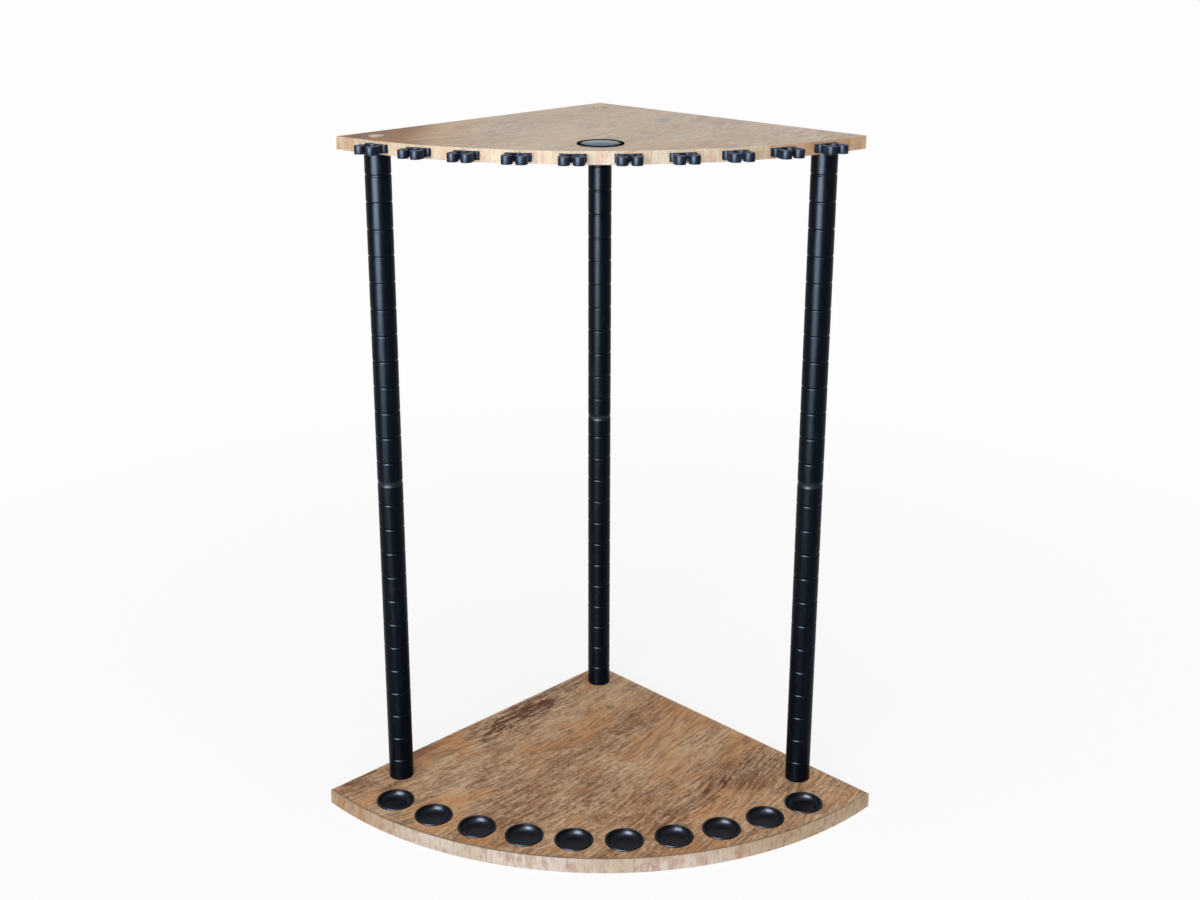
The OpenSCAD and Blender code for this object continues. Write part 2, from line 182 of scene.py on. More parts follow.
class Bench:
    """Builds the nodes of one shader tree."""

    def __init__(self, tree: bpy.types.NodeTree) -> None:
        """Work on a tree.

        Args:
            tree: The tree, such as the world's.
        """
        self.tree = tree

    def node(
        self,
        kind: str,
        settings: dict[str, Any] | None = None,
        sockets: dict[int | str, Any] | None = None,
        output: int | str = 0,
    ) -> Shade:
        """Add one node.

        Args:
            kind: The node's type.
            settings: Its own settings, such as a Math node's operation. "stops" fills a ramp.
            sockets: The values or links of its sockets, by place or name.
            output: The output socket that is returned.

        Returns:
            The chosen output.
        """
        node = self.tree.nodes.new(kind)
        for name, value in (settings or {}).items():
            if name == "stops":
                self._fill_ramp(node.color_ramp, value)
            else:
                setattr(node, name, value)
        for key, value in (sockets or {}).items():
            if isinstance(value, Shade):
                self.tree.links.new(value.socket, node.inputs[key])
            elif isinstance(value, tuple) and node.inputs[key].type == "RGBA":
                node.inputs[key].default_value = (*value, 1.0)
            else:
                node.inputs[key].default_value = value
        return Shade(self, node.outputs[output])

    @staticmethod
    def _fill_ramp(ramp: bpy.types.ColorRamp, stops: Iterable[tuple[float, Colour]]) -> None:
        """Set a ramp's stops.

        Args:
            ramp: The ramp, which starts with two stops.
            stops: Its stops, each a place and a colour.
        """
        for i, (place, colour) in enumerate(stops):
            element = ramp.elements[i] if i < 2 else ramp.elements.new(place)
            element.position = place
            element.color = (*colour, 1.0)

    def place(self, turn: float = 0.0, shift: tuple[float, float, float] = (0, 0, 0)) -> Shade:
        """Give the object's own coordinates, turned about Z.

        Args:
            turn: The turn in radians.
            shift: What is added to the coordinates.

        Returns:
            The coordinates in metres.
        """
        own = self.node("ShaderNodeTexCoord", output="Object")
        return self.node("ShaderNodeMapping", sockets={0: own, 1: shift, 2: (0.0, 0.0, turn)})

    def axis(self, place: Shade, axis: Axis) -> Shade:
        """Take one coordinate of a place."""
        return self.node("ShaderNodeSeparateXYZ", sockets={0: place}, output=axis.value)

    def stretched(self, place: Shade, scale: tuple[float, float, float]) -> Shade:
        """Scale a place along its own axes."""
        return self.node("ShaderNodeVectorMath", {"operation": "MULTIPLY"}, {0: place, 1: scale})

    def noise(
        self,
        place: Shade,
        scale: tuple[float, float, float],
        detail: float = 2.0,
        roughness: float = 0.5,
    ) -> Shade:
        """Give fractal noise around 0.5.

        Args:
            place: Where it is read.
            scale: Features per metre along each axis.
            detail: Octaves.
            roughness: Weight of the fine octaves.

        Returns:
            The noise value.
        """
        sockets = {
            "Vector": self.stretched(place, scale),
            "Scale": 1.0,
            "Detail": detail,
            "Roughness": roughness,
        }
        return self.node("ShaderNodeTexNoise", sockets=sockets)

    def blend(self, share: Any, first: Any, second: Any, mode: Blend = Blend.MIX) -> Shade:
        """Mix two colours.

        Args:
            share: How much of the second colour.
            first: The first colour.
            second: The second colour.
            mode: The blend mode.

        Returns:
            The mixed colour.
        """
        settings = {"data_type": "RGBA", "blend_type": mode.value, "clamp_factor": True}
        # A Mix node keeps its two colours in sockets 6 and 7, and the mixed colour in output 2
        return self.node("ShaderNodeMix", settings, {0: share, 6: first, 7: second}, output=2)

    def offset(self, place: Shade, x: Any = 0.0, y: Any = 0.0) -> Shade:
        """Shift a place by values or numbers to the right and to the back."""
        shift = self.node("ShaderNodeCombineXYZ", sockets={0: x, 1: y})
        return self.node("ShaderNodeVectorMath", {"operation": "ADD"}, {0: place, 1: shift})

    def length(self, place: Shade) -> Shade:
        """Give a place's distance from its zero point."""
        return self.node("ShaderNodeVectorMath", {"operation": "LENGTH"}, {0: place}, output=1)

    def ramp(self, value: Shade, stops: Iterable[tuple[float, Colour]]) -> Shade:
        """Turn a value into a colour through a ramp's stops."""
        return self.node("ShaderNodeValToRGB", {"stops": tuple(stops)}, {0: value})


class MaterialBench(Bench):
    """Builds the shader tree of one new material."""

    def __init__(self, name: str) -> None:
        """Start an empty material.

        Args:
            name: The material's name.
        """
        self.material = bpy.data.materials.new(name)
        self.material.use_nodes = True
        super().__init__(self.material.node_tree)
        self.tree.nodes.clear()

    def finish(self, height: Shade, depth: float, **sockets: Any) -> bpy.types.Material:
        """Close the tree with one Principled BSDF.

        Args:
            height: The surface's relief, 0 to 1.
            depth: How deep that relief is.
            **sockets: The shader's sockets, with underscores for spaces.

        Returns:
            The finished material.
        """
        bump = self.node("ShaderNodeBump", sockets={"Distance": depth, "Height": height})
        named = {name.replace("_", " "): value for name, value in sockets.items()}
        shader = self.node("ShaderNodeBsdfPrincipled", sockets={**named, "Normal": bump})
        return self.close(shader)

    def close(self, shader: Shade) -> bpy.types.Material:
        """Link a shader to the material's output.

        Args:
            shader: The shader.

        Returns:
            The finished material.
        """
        output = self.tree.nodes.new("ShaderNodeOutputMaterial")
        self.tree.links.new(shader.socket, output.inputs["Surface"])
        return self.material


@dataclass(frozen=True)
class Stain:
    """A dark, ragged stain in a board's print, drawn out along the grain.

    Attributes:
        x: Its middle's place to the right.
        y: Its middle's place to the back.
        length: Half its length along the grain.
        width: Half its width across the grain.
        strength: How dark it is, 0 to 1.
    """

    x: float
    y: float
    length: float
    width: float
    strength: float


@dataclass(frozen=True)
class Grain:
    """The layers of a board's print, each a noise around 0, and the places they are read at.

    Attributes:
        place: The place turned along the grain, unwarped.
        flow: The place warped as the grain runs.
        broad: Broad bands.
        figure: The wood's figure.
        streaks: The streaks that show most.
        fibres: Fine fibres.
        dashes: Short dashes between the streaks.
        mottle: Fine mottling that has hardly any direction.
    """

    place: Shade
    flow: Shade
    broad: Shade
    figure: Shade
    streaks: Shade
    fibres: Shade
    dashes: Shade
    mottle: Shade

    @classmethod
    def on(cls, bench: Bench) -> "Grain":
        """Lay out a board's grain.

        Args:
            bench: The board's bench.

        Returns:
            The layers.
        """
        place = bench.place(turn=-GRAIN_TURN)
        along, across = bench.axis(place, Axis.X), bench.axis(place, Axis.Y)
        wander = bench.noise(place, (8, 12, 12)) - 0.5
        bend = along * (across * GRAIN_FAN - along * GRAIN_BEND)
        flow = bench.offset(place, y=wander * GRAIN_WANDER + bend)
        return cls(
            place=place,
            flow=flow,
            broad=bench.noise(flow, (5, 12, 12), detail=1) - 0.5,
            figure=bench.noise(flow, (16, 60, 60), detail=1) - 0.5,
            streaks=bench.noise(flow, (34, 270, 270), detail=2, roughness=0.6) - 0.5,
            fibres=bench.noise(flow, (70, 900, 900), detail=3, roughness=0.6) - 0.5,
            dashes=bench.noise(flow, (100, 240, 240), detail=2, roughness=0.6) - 0.5,
            mottle=bench.noise(place, (230, 300, 300), detail=2, roughness=0.6) - 0.5,
        )

    def depth(self) -> Shade:
        """Add the layers up to how pale the print is, around 0."""
        coarse = self.broad * 0.9 + self.figure * 0.25 + self.streaks
        return coarse + self.fibres * 0.6 + self.dashes * 0.5 + self.mottle * 0.8

    def ragged(self) -> Shade:
        """Give what frays the stains' edges, around 0."""
        return self.streaks * 1.9 + self.dashes * 1.3 + self.mottle + self.fibres


@dataclass(frozen=True)
class RoundEdge:
    """The round front edge of a quarter-round board, seen from above.

    Attributes:
        middle: Its circle's middle, to the right and to the back.
        radius: Its radius.
    """

    middle: Pair
    radius: float

    @classmethod
    def of(cls, board: str) -> "RoundEdge":
        """Work out a board's round edge from its box.

        Its straight sides meet at a right angle at the back, so its two ends lie half its
        width in front of that corner, and the edge rises from them to the front.

        Args:
            board: The board's node.

        Returns:
            Its round edge.
        """
        low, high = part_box(board)
        half = (high[0] - low[0]) / 2
        rise = high[1] - half - low[1]
        radius = (half**2 + rise**2) / (2 * rise)
        return cls(((low[0] + high[0]) / 2, low[1] + radius), radius)

    def past(self, bench: Bench) -> Shade:
        """Give how far outside the edge a point lies, seen from above.

        Args:
            bench: The board's bench.

        Returns:
            The distance, which is below 0 on the board.
        """
        middle = bench.offset(bench.place(), -self.middle[0], -self.middle[1])
        return bench.length(bench.stretched(middle, (1.0, 1.0, 0.0))) - self.radius


@dataclass(frozen=True)
class BoardFinish:
    """Weathered wood print under a satin lacquer.

    Attributes:
        name: The material's name.
        stains: The dark stains in the print.
        contrast: How far the tones of the grain spread.
        roughness: The lacquer's mean roughness.
        specular: Strength of the lacquer's reflection.
        browned: How much browner the print is towards the left end.
        yellow_span: Where the print begins to turn brown, and where that is full.
        burnt_span: Where it begins to turn darker still, and where that is full.
        middle: Where the print's mean tone lies on its scale of tones, 0 to 1.
        stain_span: How far out, in stain sizes, a stain ends and where it is full.
        edge: The round edge along which the band's seam shows as a dim line, if any.
        seam_span: Where that line begins and is full, past the edge and so below 0 on the board.
        seam_wander: How far the line's inner side wanders.
        honey_share: How much of the warm patches shows at full contrast.
        smoke_share: How much of the smoky spots shows at full contrast.
        pore_share: How much of the pores shows.
        line_share: How much of the fine lines shows.
        seam_share: How much of the seam's line shows.
        relief: Depth of the grain under the lacquer.
        yellowed: What dims the print where it begins to turn brown.
        burnt: What dims it further at the left end.
        wash: The thin colour that lies over the whole print.
        bark: The darkest of the print's tones.
        brown: Its next tone.
        oak: Its middle tone.
        straw: Its paler tone.
        bleached: Its palest tone.
        honey: The tone of its warm patches.
        smoke: The tone of its smoky spots.
        umber: The stains' colour.
        ink: The colour of its pores and fine lines.
        seam: The colour of the line along the round edge.
    """

    name: str
    stains: tuple[Stain, ...] = ()
    contrast: float = 1.0
    roughness: float = 0.45
    specular: float = 0.08
    browned: float = 0.0
    yellow_span: Pair = (-0.1, -0.14)
    burnt_span: Pair = (-0.148, -0.186)
    middle: float = 0.54
    stain_span: Pair = (1.4, -0.05)
    edge: RoundEdge | None = None
    seam_span: Pair = (-4 * MM, -1 * MM)
    seam_wander: float = 3 * MM
    honey_share: float = 0.65
    smoke_share: float = 0.4
    pore_share: float = 0.3
    line_share: float = 0.42
    seam_share: float = 0.6
    relief: float = 0.12 * MM
    yellowed: Colour = tone(255, 234, 194)
    burnt: Colour = tone(190, 164, 122)
    wash: Colour = WHITE
    bark: Colour = tone(106, 68, 46)
    brown: Colour = tone(144, 105, 74)
    oak: Colour = tone(172, 136, 105)
    straw: Colour = tone(192, 160, 127)
    bleached: Colour = tone(210, 180, 144)
    honey: Colour = tone(194, 138, 88)
    smoke: Colour = tone(134, 110, 112)
    umber: Colour = tone(86, 48, 30)
    ink: Colour = tone(58, 36, 28)
    seam: Colour = tone(106, 98, 86)

    def _tones(self, bench: Bench, grain: Grain) -> Shade:
        """Give the print's tones, with its warm patches and smoky spots.

        Args:
            bench: The board's bench.
            grain: The board's grain.

        Returns:
            The colour of the print without its marks.
        """
        stops = (
            (0.0, self.bark),
            (0.3, self.brown),
            (0.5, self.oak),
            (0.66, self.straw),
            (0.95, self.bleached),
        )
        colour = bench.ramp(grain.depth() * self.contrast + self.middle, stops)
        warm = bench.noise(grain.flow, (10, 22, 22), detail=3, roughness=0.6).step(0.48, 0.66)
        colour = bench.blend(warm * (self.honey_share * self.contrast), colour, self.honey)
        smoky = bench.noise(grain.place, (60, 90, 90), detail=3, roughness=0.6).step(0.62, 0.74)
        return bench.blend(smoky * (self.smoke_share * self.contrast), colour, self.smoke)

    def _stained(self, bench: Bench, grain: Grain) -> Shade:
        """Add up the stains, ragged at their edges.

        Args:
            bench: The board's bench.
            grain: The board's grain.

        Returns:
            How stained the print is, 0 to 1.
        """
        ragged = grain.ragged()
        total: Any = 0.0
        for stain in self.stains:
            along = stain.x * math.cos(GRAIN_TURN) + stain.y * math.sin(GRAIN_TURN)
            across = stain.y * math.cos(GRAIN_TURN) - stain.x * math.sin(GRAIN_TURN)
            middle = bench.offset(grain.place, -along, -across)
            reach = bench.length(bench.stretched(middle, (1 / stain.length, 1 / stain.width, 0)))
            total = (reach + ragged).step(*self.stain_span) * stain.strength + total
        return total.clamped()

    def material(self) -> bpy.types.Material:
        """Build the material.

        Returns:
            The board's material.
        """
        bench = MaterialBench(self.name)
        grain = Grain.on(bench)
        colour = self._tones(bench, grain)
        if self.stains:
            colour = bench.blend(self._stained(bench, grain), colour, self.umber)
        lines = abs(bench.noise(grain.flow, (16, 140, 140), detail=1) - 0.5).step(0.09, 0.01)
        lined = bench.noise(grain.place, (14, 24, 24), detail=3, roughness=0.6).step(0.48, 0.58)
        lines = lines * lined
        pores = bench.noise(grain.flow, (110, 1300, 1300), detail=1).step(0.62, 0.72)
        marks = (pores * self.pore_share).larger(lines * self.line_share)
        colour = bench.blend(marks, colour, self.ink)
        colour = bench.blend(1.0, colour, self.wash, Blend.MULTIPLY)
        side = bench.axis(bench.place(), Axis.X)
        yellow, burnt = (
            side.step(*span) * self.browned for span in (self.yellow_span, self.burnt_span)
        )
        colour = bench.blend(yellow, colour, self.yellowed, Blend.MULTIPLY)
        colour = bench.blend(burnt, colour, self.burnt, Blend.MULTIPLY)
        if self.edge:
            past = self.edge.past(bench) + grain.mottle * self.seam_wander
            colour = bench.blend(past.step(*self.seam_span) * self.seam_share, colour, self.seam)
        return bench.finish(
            grain.streaks * 0.5 + grain.fibres * 0.5 - pores * 0.4 - lines * 0.5 + 0.5,
            self.relief,
            Base_Color=colour,
            Roughness=grain.fibres * 0.2 + pores * 0.15 + burnt * 0.3 + self.roughness,
            Specular_IOR_Level=self.specular,
        )


@dataclass(frozen=True)
class BandFinish:
    """Printed edge band with upright streaks and blotches.

    Attributes:
        name: The material's name.
        pale: Its palest tone.
        middle: Its middle tone.
        rosy: The tone of its rosy blotches.
        dark: The tone of its dark streaks.
        tanned: How tanned its left and its right end are.
        left_span: Where its left end begins to be tanned, and where that is full.
        right_span: The same for its right end.
        tan: The tone of its tanned ends.
        rosy_share: How much of the rosy blotches shows.
        streak_share: How much of the dark streaks shows.
        fleck_share: How much of the short dark flecks shows.
        roughness: Its mean roughness.
        specular: Strength of its reflection.
        relief: Depth of the streaks.
    """

    name: str
    pale: Colour
    middle: Colour
    rosy: Colour
    dark: Colour
    tanned: Pair = (0.0, 0.0)
    left_span: Pair = (-0.15, -0.25)
    right_span: Pair = (0.07, 0.2)
    tan: Colour = tone(178, 138, 92)
    rosy_share: float = 0.75
    streak_share: float = 0.55
    fleck_share: float = 0.35
    roughness: float = 0.5
    specular: float = 0.05
    relief: float = 0.05 * MM

    def material(self) -> bpy.types.Material:
        """Build the material.

        Returns:
            The band's material.
        """
        bench = MaterialBench(self.name)
        place = bench.place()
        broad = bench.noise(place, (9, 9, 20), detail=3, roughness=0.6)
        blotches = bench.noise(place, (95, 95, 45), detail=4, roughness=0.65)
        brushed = bench.noise(place, (420, 420, 50), detail=4, roughness=0.6) - 0.5
        flecks = bench.noise(place, (380, 380, 150), detail=2, roughness=0.6).step(0.56, 0.7)
        side = bench.axis(place, Axis.X)
        left, right = side.step(*self.left_span), side.step(*self.right_span)
        ends = left * self.tanned[0] + right * self.tanned[1]
        tanned = (ends * (blotches * 1.8 + 0.1)).clamped()
        colour = bench.blend(broad.step(0.4, 0.62), self.pale, self.middle)
        colour = bench.blend(blotches.step(0.48, 0.64) * self.rosy_share, colour, self.rosy)
        colour = bench.blend(tanned, colour, self.tan)
        streaks = (brushed + 0.5).step(0.5, 0.78)
        colour = bench.blend(streaks * self.streak_share, colour, self.dark)
        colour = bench.blend(flecks * self.fleck_share, colour, self.dark)
        return bench.finish(
            brushed + 0.5,
            self.relief,
            Base_Color=colour,
            Roughness=brushed * 0.2 + self.roughness,
            Specular_IOR_Level=self.specular,
        )


@dataclass(frozen=True)
class MouldedFinish:
    """Moulded or drawn plastic and rubber, with its flow marks, dust and rubbed spots.

    Attributes:
        name: The material's name.
        colour: Its colour.
        worn: The colour where it is rubbed or dusty.
        roughness: Its mean roughness.
        flow: Features per metre of the flow marks along X, Y and Z.
        grain: Features per metre of the fine grain.
        relief: Depth of the grain.
        wear: How much rubbed and dusty colour shows.
        specular: Strength of its reflection.
        tint: Colour of its reflection.
    """

    name: str
    colour: Colour
    worn: Colour
    roughness: float = 0.4
    flow: tuple[float, float, float] = (60.0, 60.0, 60.0)
    grain: float = 1500.0
    relief: float = 0.03 * MM
    wear: float = 0.25
    specular: float = 0.5
    tint: Colour = WHITE

    def material(self) -> bpy.types.Material:
        """Build the material.

        Returns:
            The plastic's material.
        """
        bench = MaterialBench(self.name)
        place = bench.place()
        flow = bench.noise(place, self.flow, detail=3, roughness=0.6) - 0.5
        grain = bench.noise(place, (self.grain,) * 3) - 0.5
        dust = bench.noise(place, (110, 110, 60), detail=4, roughness=0.7).step(0.52, 0.75)
        colour = bench.blend((flow * 0.6 + dust * self.wear).clamped(), self.colour, self.worn)
        return bench.finish(
            grain * 0.7 + flow * 0.5 + 0.5,
            self.relief,
            Base_Color=colour,
            Roughness=flow * 0.18 + dust * 0.12 + grain * 0.1 + self.roughness,
            Specular_IOR_Level=self.specular,
            Specular_Tint=self.tint,
        )


@dataclass(frozen=True)
class PlatedFinish:
    """Plated steel, brushed by handling.

    Attributes:
        name: The material's name.
        bright: The plating's colour.
        dull: Its colour where it has dulled.
        roughness: Its mean roughness.
        relief: Depth of the rubbed marks.
    """

    name: str
    bright: Colour = tone(196, 198, 200)
    dull: Colour = tone(140, 138, 134)
    roughness: float = 0.3
    relief: float = 0.02 * MM

    def material(self) -> bpy.types.Material:
        """Build the material.

        Returns:
            The screws' material.
        """
        bench = MaterialBench(self.name)
        place = bench.place()
        spots = bench.noise(place, (700, 700, 700), detail=4, roughness=0.65)
        rubs = bench.noise(place, (2500, 300, 300)) - 0.5
        colour = bench.blend(spots.step(0.45, 0.7), self.bright, self.dull)
        return bench.finish(
            rubs + 0.5,
            self.relief,
            Base_Color=colour,
            Roughness=spots * 0.25 + rubs * 0.15 + self.roughness - 0.1,
            Metallic=1.0,
        )


@dataclass(frozen=True)
class BadgeFinish:
    """Satin moulding with a black rim round a plain grey middle, with painted shade and
    reflection.

    Attributes:
        name: The material's name.
        middle: Its centre's place to the right and to the back.
        rim_inside: Radius at which the rim is full.
        rim_shade_fade: Width over which the middle darkens to the rim, a painted shade.
        front_shade_span: Where the painted shade of the front begins and is full, past its centre
            to the back.
        ring_rate: Radians of its fine rings in a metre.
        black: The rim's colour.
        grey: The middle's colour, pale enough to be a painted reflection of the white room, as the
            badge reflects nothing itself.
        worn: The middle's colour in its fine rings and where it is dusty.
        painted_front_shade: The darker, bluer colour painted towards its front as shade and
            reflection.
        ring_share: How much of the fine rings shows.
        dust_share: How much of the dust shows.
        roughness: Its roughness where it is clean.
        specular: Strength of its reflection.
        relief: Depth of the rings and the dust.
    """

    name: str
    middle: Pair
    rim_inside: float
    rim_shade_fade: float = 3.5 * MM
    front_shade_span: Pair = (6 * MM, -8 * MM)
    ring_rate: float = 9000.0
    black: Colour = tone(14, 15, 17)
    grey: Colour = tone(146, 151, 146)
    worn: Colour = tone(124, 129, 126)
    painted_front_shade: Colour = tone(98, 111, 123)
    ring_share: float = 0.3
    dust_share: float = 0.5
    roughness: float = 0.3
    specular: float = 0.0
    relief: float = 0.01 * MM

    def material(self) -> bpy.types.Material:
        """Build the material.

        Returns:
            The badge's material.
        """
        bench = MaterialBench(self.name)
        place = bench.place(shift=(-self.middle[0], -self.middle[1], 0.0))
        reach = bench.length(bench.stretched(place, (1.0, 1.0, 0.0)))
        rings = (reach * self.ring_rate).sine() * 0.5 + 0.5
        dust = bench.noise(place, (260, 260, 260), detail=4, roughness=0.7).step(0.5, 0.75)
        worn = (rings * self.ring_share + dust * self.dust_share).clamped()
        # The pale grey middle is partly painted reflection, since the specular level is 0
        colour = bench.blend(worn, self.grey, self.worn)
        # Painted shade and reflection: the front half turns darker and bluer
        front = bench.axis(place, Axis.Y).step(*self.front_shade_span)
        colour = bench.blend(front, colour, self.painted_front_shade)
        # The rim's black is its own colour; the middle's darkening towards it is painted shade
        rim = reach.step(self.rim_inside - self.rim_shade_fade, self.rim_inside)
        colour = bench.blend(rim, colour, self.black)
        return bench.finish(
            rings * 0.6 + dust * 0.4,
            self.relief,
            Base_Color=colour,
            Roughness=dust * 0.15 + self.roughness,
            Specular_IOR_Level=self.specular,
        )


def dress(nodes: Iterable[str], material: bpy.types.Material) -> None:
    """Give the model's own nodes their material.

    Args:
        nodes: The nodes' names.
        material: The material that they get.
    """
    for name in nodes:
        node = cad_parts[name]
        if not node.material_slots:
            node.data.materials.append(material)
        for slot in node.material_slots:
            slot.material = material
        LOG.info("dressed %s in %s", name, material.name)


def add_piece(
    name: str, shape: bmesh.types.BMesh, material: bpy.types.Material
) -> bpy.types.Object:
    """Make a finished shape into a piece that rides on the rack.

    Args:
        name: The piece's name.
        shape: The finished shape. It is freed.
        material: The piece's material.

    Returns:
        The new piece.
    """
    mesh = bpy.data.meshes.new(name)
    shape.to_mesh(mesh)
    shape.free()
    mesh.materials.append(material)
    piece = bpy.data.objects.new(name, mesh)
    bpy.context.scene.collection.objects.link(piece)
    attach(piece, BODY)
    LOG.info("made %s", name)
    return piece


def eased_copy(node: str, radius: float, segments: int) -> bmesh.types.BMesh:
    """Copy a node's shape with its sharp edges eased.

    Args:
        node: The node's name.
        radius: Width of the eased edges.
        segments: Steps across an eased edge.

    Returns:
        The copy. It is still to be freed.
    """
    shape = bmesh.new()
    shape.from_mesh(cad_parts[node].data)
    bmesh.ops.remove_doubles(shape, verts=shape.verts, dist=MERGE_REACH)
    bmesh.ops.dissolve_limit(shape, angle_limit=FLAT_ANGLE, verts=shape.verts, edges=shape.edges)
    sharp = [
        edge
        for edge in shape.edges
        if edge.is_manifold and edge.calc_face_angle() > SHARP_ANGLE
    ]
    bmesh.ops.bevel(
        shape,
        geom=sharp,
        offset=radius,
        offset_type="OFFSET",
        affect="EDGES",
        segments=segments,
        profile=0.5,
        material=-1,
        clamp_overlap=True,
    )
    return shape


@dataclass(frozen=True)
class Boards:
    """The base and the top, with their edge bands.

    Attributes:
        base: The base's finish, with the dark stains of its print.
        top: The top's finish, calmer than the base's.
        base_band: The finish of the base's edge bands.
        top_band: The finish of the top's edge bands.
    """

    base: BoardFinish = BoardFinish(
        "weathered_base",
        stains=(
            Stain(-0.078, 0.090, 0.066, 0.020, 1.0),
            Stain(-0.112, 0.052, 0.024, 0.012, 0.6),
            Stain(0.158, -0.045, 0.044, 0.036, 0.7),
            Stain(0.115, -0.070, 0.030, 0.016, 0.4),
            Stain(-0.007, -0.073, 0.050, 0.022, 0.35),
            Stain(-0.186, 0.003, 0.028, 0.007, 0.6),
            Stain(-0.120, -0.052, 0.034, 0.010, 0.4),
            Stain(0.085, -0.115, 0.045, 0.012, 0.35),
        ),
    )
    top: BoardFinish = BoardFinish(
        "weathered_top",
        stains=(
            Stain(-0.212, -0.030, 0.080, 0.020, 0.35),
            Stain(-0.230, -0.055, 0.040, 0.016, 0.5),
            Stain(-0.060, 0.030, 0.080, 0.030, 0.12),
            Stain(0.110, -0.062, 0.060, 0.026, 0.12),
            Stain(0.232, -0.052, 0.030, 0.024, 0.3),
        ),
        contrast=0.5,
        roughness=0.36,
        browned=1.0,
        specular=0.28,
        wash=tone(216, 231, 241),
        umber=tone(120, 78, 46),
    )
    base_band: BandFinish = BandFinish(
        "base_edge_band",
        pale=tone(224, 210, 198),
        middle=tone(208, 191, 169),
        rosy=tone(192, 159, 141),
        dark=tone(136, 106, 88),
        tanned=(0.65, 0.5),
    )
    top_band: BandFinish = BandFinish(
        "top_edge_band",
        pale=tone(231, 216, 193),
        middle=tone(228, 208, 178),
        rosy=tone(219, 181, 154),
        dark=tone(166, 131, 104),
        tanned=(0.28, 0.75),
        tan=tone(194, 150, 110),
    )

    def dress(self) -> None:
        """Dress both boards and their bands."""
        base = replace(self.base, edge=RoundEdge.of("base_panel"))
        dress(["base_panel"], base.material())
        dress(["top_panel"], self.top.material())
        for board, band in (("base", self.base_band), ("top", self.top_band)):
            sides = [f"{board}_band_{side}" for side in ("front", "left", "right")]
            dress(sides, band.material())


@dataclass(frozen=True)
class Posts:
    """The three posts: ringed half tubes, couplers, plugs and screw covers.

    Attributes:
        tube: The half tubes' finish, whose flow marks run along them.
        collar: The couplers' finish.
        plug: The plugs' finish.
        cover: The finish of the covers that hardly show on the wood.
        sheen_painted_cover: The left cover's finish, a paler copy of the others' whose extra
            paleness is painted sheen.
    """

    tube: MouldedFinish = MouldedFinish(
        "drawn_tube",
        tone(4, 8, 16),
        tone(23, 31, 47),
        roughness=0.3,
        flow=(420.0, 420.0, 5.0),
        wear=0.1,
        specular=0.05,
        tint=COOL_GLOSS,
    )
    collar: MouldedFinish = MouldedFinish(
        "coupler_collar",
        tone(26, 30, 35),
        tone(48, 52, 58),
        roughness=0.4,
        specular=0.08,
        tint=COOL_GLOSS,
    )
    plug: MouldedFinish = MouldedFinish(
        "post_plug", tone(24, 25, 27), tone(50, 50, 52), roughness=0.5, specular=0.2
    )
    cover: MouldedFinish = MouldedFinish(
        "cover_disc", tone(164, 147, 131), tone(146, 129, 113), roughness=0.5, specular=0.1
    )
    # The left cover is a paler copy of the same cover: the difference is painted sheen
    sheen_painted_cover: MouldedFinish = MouldedFinish(
        "sheen_painted_cover_disc", tone(168, 153, 140), tone(148, 133, 119), roughness=0.5, specular=0.1
    )

    def dress(self) -> None:
        """Dress every piece of the posts."""
        tubes = [f"{side}_{half}_tube" for side in SIDES for half in ("lower", "upper")]
        plugs = [f"{side}_{end}_plug" for side in SIDES for end in ("foot", "head")]
        dress(tubes, self.tube.material())
        dress([f"{side}_post_coupler" for side in SIDES], self.collar.material())
        dress(plugs, self.plug.material())
        dress(["back_screw_cover", "right_screw_cover"], self.cover.material())
        dress(["left_screw_cover"], self.sheen_painted_cover.material())


@dataclass(frozen=True)
class RodHolders:
    """The butt cups in the base and the clips on the top's round edge.

    Attributes:
        clip_ease: Width of the eased edges of the clips.
        ease_steps: Steps across an eased edge.
        cup: The cups' finish.
        clip: The clips' finish.
    """

    clip_ease: float = 0.55 * MM
    ease_steps: int = 2
    cup: MouldedFinish = MouldedFinish(
        "cup_rubber",
        tone(14, 16, 19),
        tone(36, 39, 44),
        roughness=0.32,
        wear=0.2,
        specular=0.09,
        tint=(0.64, 0.74, 1.0),
    )
    clip: MouldedFinish = MouldedFinish(
        "clip_rubber",
        tone(14, 21, 37),
        tone(58, 80, 120),
        roughness=0.46,
        wear=0.42,
        specular=0.08,
        tint=COOL_GLOSS,
    )

    def build(self) -> None:
        """Dress the cups and make the clips with eased edges."""
        dress([f"butt_cup_{i}" for i in PLACES], self.cup.material())
        rubber = self.clip.material()
        for i in PLACES:
            shape = eased_copy(f"rod_clip_{i}", self.clip_ease, self.ease_steps)
            piece = add_piece(f"clip_moulding_{i}", shape, rubber)
            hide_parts(f"rod_clip_{i}")


@dataclass(frozen=True)
class Trim:
    """The screws and the plain badge.

    Attributes:
        rim_width: Width of the badge's rim.
        zinc: The finish of the screws through the boards.
        blackened: The finish of the clips' screws.
    """

    rim_width: float = 2.6 * MM
    zinc: PlatedFinish = PlatedFinish("zinc_plate")
    blackened: PlatedFinish = PlatedFinish(
        "blackened_steel", tone(16, 17, 19), tone(9, 9, 11), roughness=0.6
    )

    def dress(self) -> None:
        """Dress the screws and the badge."""
        dress(["base_screws", "top_screws"], self.zinc.material())
        dress(["clip_screws"], self.blackened.material())
        low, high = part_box("round_badge")
        middle = ((low[0] + high[0]) / 2, (low[1] + high[1]) / 2)
        rim_inside = (high[0] - low[0]) / 2 - self.rim_width
        dress(["round_badge"], BadgeFinish("badge_gloss", middle, rim_inside).material())


